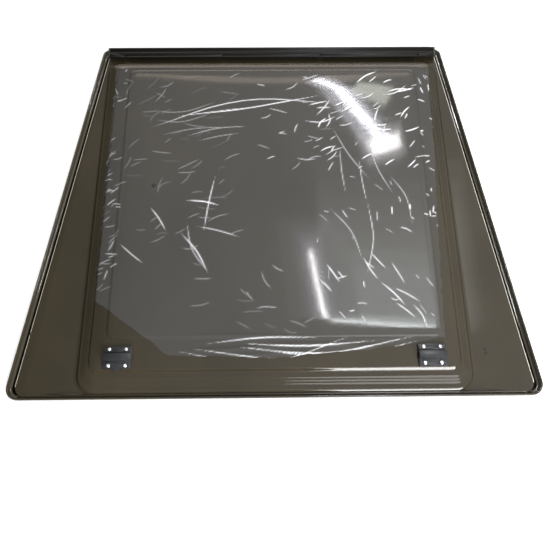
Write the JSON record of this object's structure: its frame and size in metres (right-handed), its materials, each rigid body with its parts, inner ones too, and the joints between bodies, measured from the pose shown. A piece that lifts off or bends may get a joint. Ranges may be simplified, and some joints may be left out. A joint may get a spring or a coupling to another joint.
{
  "type": "hinged rooflight pane",
  "caption": "Hinged double-skin smoked acrylic rooflight pane with a raised inner field, a full-width hinge rail and stay brackets for screws.",
  "frame": {"origin": "middle of the overall box, on the outer face, which lies down", "axes": "+X along the free edge, +Y towards the hinge, +Z out of the inner face"},
  "size_m": [0.81, 0.65, 0.0278],
  "materials": {
    "smoked_acrylic_outer": "gloss",
    "smoked_acrylic_inner": "gloss",
    "bond": "satin",
    "black_aluminium": "satin",
    "bedding_tape": "matte",
    "black_plastic": "satin",
    "foam": "matte",
    "bright_steel": "polished",
    "acrylic_block": "satin",
    "black_rubber": "matte",
    "clear_film": "gloss"
  },
  "bodies": {
    "pane": {"outer_pane": "smoked_acrylic_outer", "inner_pane": "smoked_acrylic_inner", "edge_bond": "bond", "pane_hinge_profile": "black_aluminium", "hinge_bedding_tape": "bedding_tape", "stay_bracket_left": "black_plastic", "stay_bracket_right": "black_plastic", "bracket_pad_left": "foam", "bracket_pad_right": "foam", "bracket_screws_left": "bright_steel", "bracket_screws_right": "bright_steel", "backing_block_left": "acrylic_block", "backing_block_right": "acrylic_block", "breather_plug_left_front": "black_rubber", "breather_plug_left_rear": "black_rubber", "breather_plug_right_front": "black_rubber", "breather_plug_right_rear": "black_rubber", "breather_plug_centre": "black_rubber", "protective_film": "clear_film"},
    "roof_rail": {"roof_hinge_profile": "black_aluminium", "rail_end_cap_left": "black_plastic", "rail_end_cap_right": "black_plastic", "rail_seal": "black_rubber"}
  },
  "joints": [
    {"name": "rail_hinge", "type": "hinge", "parent": "pane", "child": "roof_rail", "pos_m": [0, 0.31922, 0.01208], "axis": [-1, 0, 0], "range_deg": [0, 60]}
  ]
}
